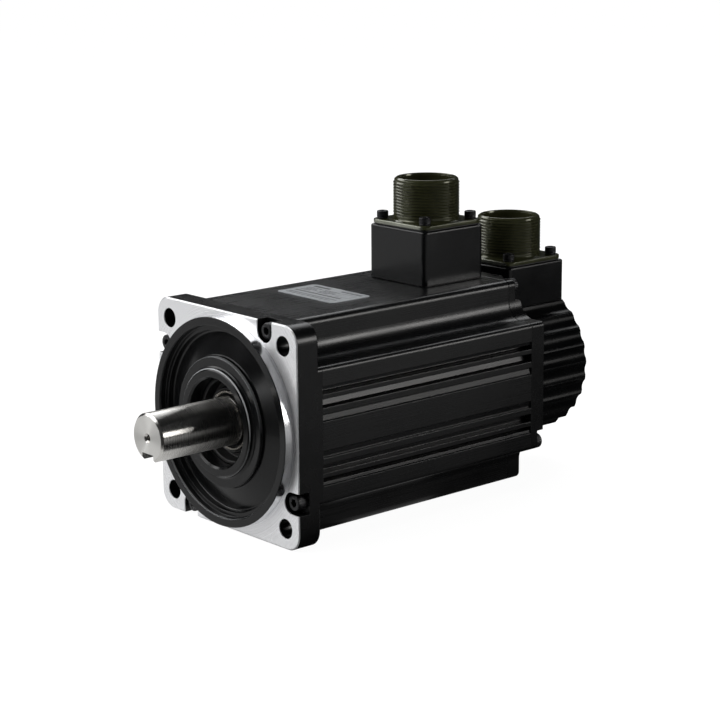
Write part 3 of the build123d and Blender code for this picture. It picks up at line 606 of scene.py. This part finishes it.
material_of = {piece: key for key, pieces in WORN_BY.items() for piece in pieces.split()}


def smooth(mesh, sharp_angle):
    for polygon in mesh.polygons:
        polygon.use_smooth = True
    mesh.set_sharp_from_angle(angle=math.radians(sharp_angle))


for name, ob in nodes.items():
    material = materials[material_of.get(name, "paint")]
    if len(ob.data.materials):
        for material_slot in ob.material_slots:
            material_slot.material = material
    else:
        ob.data.materials.append(material)
    smooth(ob.data, sharp_angle=28)

# ------------------------------------------------------------------ #
# Helpers for new pieces
# ------------------------------------------------------------------ #


def body_of(node):
    bodies = frame["record"]["behaviour"]["bodies"]
    return next((body for body, members in bodies.items() if node in members), None)


def finish_piece(bm, name, material, node, sharp_angle):
    """Make the object; it is attached to the body of the CAD piece called node, so it moves with
    it.
    """
    mesh = bpy.data.meshes.new(name)
    bmesh.ops.recalc_face_normals(bm, faces=bm.faces)
    bm.to_mesh(mesh)
    bm.free()
    made = bpy.data.objects.new(name, mesh)
    scene.collection.objects.link(made)
    mesh.materials.append(material)
    smooth(mesh, sharp_angle)
    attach(made, body_of(node))
    return made


def bridge(bm, first, second):
    """Join two closed rings of equal count with quads."""
    count = len(first)
    for i in range(count):
        j = (i + 1) % count
        bm.faces.new((first[i], first[j], second[j], second[i]))


# ------------------------------------------------------------------ #
# Socket-cap screws, in place of the plain CAD ones
# ------------------------------------------------------------------ #


def cap_screw(bm, origin, axis, up, knurls, head_radius, head_height, shank_radius, length,
              hex_width, hex_depth):
    """One screw with a knurled head, lengths in metres.

    origin is the centre of the head's bearing face, axis points out of the head and up is
    where the first knurl and the hexagon start.
    """
    axis = Vector(axis).normalized()
    up = Vector(up).normalized()
    side = axis.cross(up)
    count = knurls * 4
    turns = [2 * math.pi * i / count for i in range(count)]
    knurl_depth = head_radius * 0.035

    def vert(radius, height, turn):
        spoke = (up * math.cos(turn) + side * math.sin(turn)) * radius
        return bm.verts.new(Vector(origin) + axis * height + spoke)

    profile = [  # radius, height, knurled
        (shank_radius - 0.35e-3, -length, 0),
        (shank_radius, -length + 0.35e-3, 0),
        (shank_radius, -0.2e-3, 0),
        (shank_radius, 0.0, 0),
        (head_radius - 0.25e-3, 0.0, 0),
        (head_radius - 0.02e-3, 0.18e-3, 0),
        (head_radius, 0.3e-3, 1),
        (head_radius, head_height * 0.5, 1),
        (head_radius, head_height - 0.5e-3, 1),
        (head_radius - 0.04e-3, head_height - 0.35e-3, 0),
        (head_radius - 0.18e-3, head_height - 0.12e-3, 0),
        (head_radius - 0.42e-3, head_height, 0),
    ]
    tip = vert(0, -length, 0)
    rings = []
    for radius, height, knurled in profile:
        rings.append([
            vert(radius - knurled * knurl_depth * (0.5 - 0.5 * math.cos(turn * knurls)),
                 height, turn)
            for turn in turns])

    # the top narrows to a chamfered hexagon socket
    hex_corner = hex_width / math.sqrt(3)

    def hex_radius(turn):
        from_flat = turn % (math.pi / 3) - math.pi / 6
        return min(hex_corner * math.cos(math.pi / 6) / math.cos(from_flat), hex_corner)

    rings.append([vert(hex_corner * 1.04, head_height, turn) for turn in turns])
    for height in (head_height - 0.22e-3, head_height - hex_depth):
        rings.append([vert(hex_radius(turn), height, turn) for turn in turns])
    floor_centre = vert(0, head_height - hex_depth - 0.35e-3, 0)

    for i in range(count):
        bm.faces.new((tip, rings[0][i], rings[0][(i + 1) % count]))
    for first, second in zip(rings, rings[1:]):
        bridge(bm, first, second)
    for i in range(count):
        bm.faces.new((rings[-1][i], rings[-1][(i + 1) % count], floor_centre))


def screws_for(node, origins, axis, knurls, **sizes):
    """Replace the CAD screws of node. Origins and sizes in mm; axis is along Y or Z."""
    bm = bmesh.new()
    sizes = {key: size * MM for key, size in sizes.items()}
    for i, origin in enumerate(origins):
        # each screw stops at its own angle
        if axis[2]:
            turn = 0.2 + 0.9 * i
            up = (math.cos(turn), math.sin(turn), 0)
        else:
            turn = 0.35 + 0.8 * i
            up = (math.cos(turn), 0, math.sin(turn))
        cap_screw(bm, [c * MM for c in origin], axis, up, knurls, **sizes)
    made = finish_piece(bm, node + "_knurled", materials["screw"], node, sharp_angle=35)
    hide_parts(node)


FRONT, REAR, TOP = (0, -1, 0), (0, 1, 0), (0, 0, 1)
# mm, shared by the flange, rear bracket and cover screws
LARGE_SCREW = dict(head_height=4.0, shank_radius=1.62, hex_width=3.2, hex_depth=2.3, knurls=30)
SMALL_SCREW = dict(head_radius=2.75, head_height=3.0, shank_radius=1.2, length=9.5,
                   hex_width=2.5, hex_depth=1.6, knurls=26)
# x and z of the four corner screws: one offset pair, turned by quarters
CORNER_NEAR, CORNER_FAR = 28.2, 45.1
CORNERS = [(CORNER_NEAR, CORNER_FAR), (CORNER_FAR, -CORNER_NEAR),
           (-CORNER_NEAR, -CORNER_FAR), (-CORNER_FAR, CORNER_NEAR)]
FLANGE_SEAT_Y = 5.0
COVER_PITCH_RADIUS = 27.6
COVER_SEAT_DEPTH = 4.2  # bearing face below the rear end of the cover
CONNECTOR_HALF_PITCH = 14.68

screws_for("flange_screws", [(x, FLANGE_SEAT_Y, z) for x, z in CORNERS], FRONT,
           head_radius=3.6, length=22.0, **LARGE_SCREW)

rear_seat_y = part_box("rear_bracket_screws")[1][1] / MM - LARGE_SCREW["head_height"]
screws_for("rear_bracket_screws", [(x, rear_seat_y, z) for x, z in CORNERS], REAR,
           head_radius=3.6, length=20.0, **LARGE_SCREW)

cover_seat_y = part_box("encoder_cover")[1][1] / MM - COVER_SEAT_DEPTH
cover_turns = [math.radians(45 + 90 * k) for k in range(4)]
screws_for("encoder_cover_screws",
           [(COVER_PITCH_RADIUS * math.cos(turn), cover_seat_y,
             COVER_PITCH_RADIUS * math.sin(turn)) for turn in cover_turns],
           REAR, head_radius=3.5, length=48.0, **LARGE_SCREW)

for connector in ("power", "encoder"):
    low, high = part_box(connector + "_connector_screws")
    centre_y = (low[1] + high[1]) / 2 / MM
    seat_z = high[2] / MM - SMALL_SCREW["head_height"]
    screws_for(connector + "_connector_screws",
               [(sign_x * CONNECTOR_HALF_PITCH, centre_y + sign_y * CONNECTOR_HALF_PITCH, seat_z)
                for sign_x in (1, -1) for sign_y in (1, -1)],
               TOP, **SMALL_SCREW)

# ------------------------------------------------------------------ #
# Garter spring of the seal
# ------------------------------------------------------------------ #


def garter_spring(ring_radius, centre_y, coil_radius, wire_radius, turns):
    """A close coil wound into a ring round the Y axis."""
    bm = bmesh.new()
    steps, sides = turns * 14, 8
    along_y = Vector((0, 1, 0))
    rows = []
    for i in range(steps):
        part = i / steps
        ring_turn = 2 * math.pi * part
        coil_turn = 2 * math.pi * part * turns
        coil_cos, coil_sin = math.cos(coil_turn), math.sin(coil_turn)
        outward = Vector((math.cos(ring_turn), 0, math.sin(ring_turn)))
        centre = (outward * ring_radius + Vector((0, centre_y, 0))
                  + outward * coil_radius * coil_cos + along_y * coil_radius * coil_sin)
        round_ring = Vector((-math.sin(ring_turn), 0, math.cos(ring_turn)))
        tangent = (round_ring * (ring_radius + coil_radius * coil_cos)
                   + (outward * -coil_sin + along_y * coil_cos) * coil_radius * turns)
        tangent.normalize()
        normal = (outward * coil_cos + along_y * coil_sin).normalized()
        side = tangent.cross(normal).normalized()
        normal = side.cross(tangent)
        row = []
        for k in range(sides):
            turn = 2 * math.pi * k / sides
            spoke = (normal * math.cos(turn) + side * math.sin(turn)) * wire_radius
            row.append(bm.verts.new(centre + spoke))
        rows.append(row)
    for i in range(steps):
        bridge(bm, rows[i], rows[(i + 1) % steps])
    return bm


garter = finish_piece(
    garter_spring(ring_radius=13.0 * MM, centre_y=1.9 * MM, coil_radius=0.52 * MM,
                  wire_radius=0.3 * MM, turns=64),
    "garter_spring_coil", materials["spring"], "seal_garter_spring", sharp_angle=60)
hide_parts("seal_garter_spring")

# ------------------------------------------------------------------ #
# Nameplate printing: plain bars, no lettering
# ------------------------------------------------------------------ #

PRINT_SUNK, PRINT_RAISED = 0.02, 0.03  # mm below and above the plate's top face
FRAME_LINE = 0.18
SMALL_ROWS = [  # down from the top edge; ends of the two columns, from the left edge; mm
    (6.6, 13.0, 25.5), (8.3, 11.5, 24.0), (10.0, 13.4, 26.2), (11.7, 10.5, 23.0),
]


def plate_print():
    bm = bmesh.new()
    low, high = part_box("nameplate")
    left, right, bottom, top = low[0] / MM, high[0] / MM, low[1] / MM, high[1] / MM
    face_z = high[2] / MM
    widths_rng = random.Random(11)

    def bar(x0, x1, y0, y1):
        corners = []
        for z in (face_z - PRINT_SUNK, face_z + PRINT_RAISED):
            for x, y in ((x0, y0), (x1, y0), (x1, y1), (x0, y1)):
                corners.append(bm.verts.new((x * MM, y * MM, z * MM)))
        for face in ((0, 3, 2, 1), (4, 5, 6, 7), (0, 1, 5, 4), (1, 2, 6, 5), (2, 3, 7, 6),
                     (3, 0, 4, 7)):
            bm.faces.new([corners[i] for i in face])

    def words(start, end, y, height, widths, gap=0.35):
        """A row of bars of random width, like words, from x = start to x = end."""
        x = start
        while x < end - 0.3:
            width = min(widths_rng.uniform(*widths), end - x)
            bar(x, x + width, y - height / 2, y + height / 2)
            x += width + gap

    # heading blocks
    bar(left + 3.6, left + 15.0, top - 4.4, top - 2.4)
    words(left + 23.0, right - 3.0, top - 3.4, height=1.5, widths=(1.6, 3.2), gap=0.45)
    # small rows in two columns
    for down, first_end, second_end in SMALL_ROWS:
        words(left + 3.6, left + first_end, top - down, height=0.75, widths=(0.8, 2.2))
        words(left + 15.2, left + second_end, top - down, height=0.75, widths=(0.8, 2.2))
    # heavy row and foot rows
    words(left + 3.2, right - 4.5, bottom + 8.9, height=1.5, widths=(1.2, 2.6), gap=0.4)
    words(left + 3.2, right - 3.2, bottom + 5.2, height=0.85, widths=(0.8, 2.4))
    words(left + 3.2, right - 6.0, bottom + 3.2, height=0.75, widths=(0.8, 2.4))
    # printed frame round the empty field
    x0, x1, y0, y1 = left + 28.5, right - 3.2, top - 12.2, top - 6.0
    bar(x0, x1, y1 - FRAME_LINE, y1)
    bar(x0, x1, y0, y0 + FRAME_LINE)
    bar(x0, x0 + FRAME_LINE, y0 + FRAME_LINE, y1 - FRAME_LINE)
    bar(x1 - FRAME_LINE, x1, y0 + FRAME_LINE, y1 - FRAME_LINE)
    return bm


finish_piece(plate_print(), "nameplate_print", materials["ink"], "nameplate", sharp_angle=30)

# ------------------------------------------------------------------ #
# Floor
# ------------------------------------------------------------------ #

FLOOR_HALF = 6.0
FLOOR_GAP = 0.0003  # below the lowest point of the motor
# brightness of the mirrored floor by azimuth, degrees from +X towards +Y:
# bright towards -X and -Y, mid-grey towards +X, dark between and behind
MIRRORED = [
    (-180, 0.45), (-165, 0.68), (-128, 0.76), (-115, 0.36), (-104, 0.05), (-26, 0.04),
    (-12, 0.38), (46, 0.37), (51, 0.05), (120, 0.03), (150, 0.05), (180, 0.45),
]


def floor_mat():
    """Pale floor that looks different to the camera, to reflections and to other rays."""
    mat = new_material("floor_pale")
    rays = mat.node("ShaderNodeLightPath").outputs
    tint = mat.noise(scale=3.0, detail=3)
    lit = mat.surface(mat.mix(tint, under=(0.79, 0.79, 0.79), over=(0.81, 0.81, 0.81)),
                      rough=0.9, specular=0.0)
    # the camera sees a glowing white that still takes a faint shadow
    seen = mat.surface((0.14, 0.14, 0.14), rough=0.9, specular=0.0)
    glow = mat.node("ShaderNodeEmission", {"Color": (1, 1, 1, 1), "Strength": 0.96})
    both = mat.node("ShaderNodeAddShader", {0: seen.outputs[0], 1: glow.outputs[0]})
    plain = mat.mix_shader(rays["Is Camera Ray"], off=lit, on=both)

    # what the motor mirrors
    x, y, _ = mat.xyz()
    azimuth = (y - 0.055).op("ARCTAN2", x) * (180.0 / math.pi)
    # close to the foot of the flange the floor stays bright all along the front
    foot = ((y < 0.0) * (x < 0.05)
            * hypot(x, y).remap(span=(0.14, 0.24), to=(1.0, 0.0)))
    azimuth = foot.switch(off=azimuth, on=azimuth.op("MINIMUM", -130.0))
    ramp = mat.node("ShaderNodeValToRGB", {0: azimuth.remap(span=(-180.0, 180.0))})
    ramp.color_ramp.interpolation = "LINEAR"
    elements = ramp.color_ramp.elements
    while len(elements) < len(MIRRORED):
        elements.new(0.5)
    for element, (degrees, grey) in zip(elements, MIRRORED):
        element.position = (degrees + 180.0) / 360.0
        element.color = (grey, grey, grey, 1.0)
    # beside the motor, on +X, it falls off into the shade
    near = x.remap(span=(0.05, 0.31), to=(0.14, 1.0))
    mirrored = mat.node("ShaderNodeEmission", {
        "Color": ramp.outputs[0], "Strength": (x > 0.043).switch(off=1.0, on=near)})
    return mat.done(mat.mix_shader(rays["Is Glossy Ray"], off=plain, on=mirrored))


floor_z = cad_box[0][2] - FLOOR_GAP
floor_mesh = bpy.data.meshes.new("floor")
floor_mesh.from_pydata(
    [(x * FLOOR_HALF, y * FLOOR_HALF, floor_z) for x, y in ((-1, -1), (1, -1), (1, 1), (-1, 1))],
    [], [(0, 1, 2, 3)])
floor = bpy.data.objects.new("floor", floor_mesh)
scene.collection.objects.link(floor)
floor_mesh.materials.append(floor_mat())

# ------------------------------------------------------------------ #
# World: white to the camera, a faint cool grey to everything else
# ------------------------------------------------------------------ #

scene.world = bpy.data.worlds.new("studio")
sky = Graph(scene.world, output="ShaderNodeOutputWorld")
sky.done(sky.mix_shader(
    sky.node("ShaderNodeLightPath").outputs["Is Camera Ray"],
    off=sky.node("ShaderNodeBackground", {"Color": (0.55, 0.57, 0.6, 1), "Strength": 0.03}),
    on=sky.node("ShaderNodeBackground", {"Color": (1, 1, 1, 1), "Strength": 1.0})))

# ------------------------------------------------------------------ #
# Lights
# ------------------------------------------------------------------ #

LIGHT_TARGET = Vector((0.0, 0.06, 0.0))
PANELS = [
    # name, azimuth (degrees from +X towards +Y), elevation, distance, width, height,
    # radiance, colour
    ("panel_right", 38.0, 12.5, 1.5, 0.56, 0.42, 8.2, (1.0, 0.985, 0.965)),
    ("panel_left", -137.0, 29.0, 1.4, 1.1, 0.6, 4.0, (1.0, 1.0, 1.0)),
    ("panel_back", 128.0, 42.0, 1.4, 1.0, 0.55, 2.5, (0.98, 0.99, 1.0)),
    ("panel_high", -114.0, 42.0, 1.4, 0.7, 0.45, 4.0, (1.0, 1.0, 1.0)),
    ("panel_low", -106.0, 2.0, 1.4, 0.42, 0.10, 4.0, (1.0, 1.0, 1.0)),
    ("panel_side", 168.0, 38.0, 1.4, 0.9, 0.45, 4.0, (1.0, 1.0, 1.0)),
]


def panel(name, azimuth, elevation, distance, width, height, radiance, colour):
    """Soft panel aimed at the motor and hidden from the camera."""
    azimuth, elevation = math.radians(azimuth), math.radians(elevation)
    direction = Vector((math.cos(azimuth) * math.cos(elevation),
                        math.sin(azimuth) * math.cos(elevation), math.sin(elevation)))
    light = bpy.data.lights.new(name, "AREA")
    light.shape = "RECTANGLE"
    light.size = width
    light.size_y = height
    light.energy = radiance * math.pi * width * height
    light.color = colour
    lamp = bpy.data.objects.new(name, light)
    scene.collection.objects.link(lamp)
    lamp.location = LIGHT_TARGET + direction * distance
    lamp.rotation_euler = (-direction).to_track_quat("-Z", "Y").to_euler()
    lamp.visible_camera = False


for row in PANELS:
    panel(*row)

# broad fill from overhead that leaves no highlight
sun = bpy.data.lights.new("overhead", "SUN")
sun.energy = 0.9
sun.angle = math.radians(60)
overhead = bpy.data.objects.new("overhead", sun)
scene.collection.objects.link(overhead)
overhead.rotation_euler = (math.radians(12), math.radians(-8), 0)
overhead.visible_glossy = False

# ------------------------------------------------------------------ #
# Camera and view
# ------------------------------------------------------------------ #

CAMERA_AT = (0.689589, -0.525699, 0.229283)
CAMERA_AZIMUTH = math.radians(48.737)  # from -Y towards +X
CAMERA_ELEVATION = math.radians(13.139)
CAMERA_ROLL = math.radians(-0.429)

camera_data = bpy.data.cameras.new("camera")
camera = bpy.data.objects.new("camera", camera_data)
scene.collection.objects.link(camera)
camera_data.sensor_width = 36.0
camera_data.lens = 100.557
camera_data.clip_start = 0.01
back = Vector((math.sin(CAMERA_AZIMUTH) * math.cos(CAMERA_ELEVATION),
               -math.cos(CAMERA_AZIMUTH) * math.cos(CAMERA_ELEVATION),
               math.sin(CAMERA_ELEVATION)))
forward = -back
level_right = forward.cross(Vector((0, 0, 1))).normalized()
level_up = level_right.cross(forward)
camera_right = level_right * math.cos(CAMERA_ROLL) + level_up * math.sin(CAMERA_ROLL)
camera_up = -level_right * math.sin(CAMERA_ROLL) + level_up * math.cos(CAMERA_ROLL)
camera.matrix_world = Matrix((*zip(camera_right, camera_up, back, CAMERA_AT), (0, 0, 0, 1)))
scene.camera = camera

scene.view_settings.view_transform = "Standard"
scene.view_settings.look = "None"
scene.view_settings.exposure = 0.0
scene.view_settings.gamma = 1.0
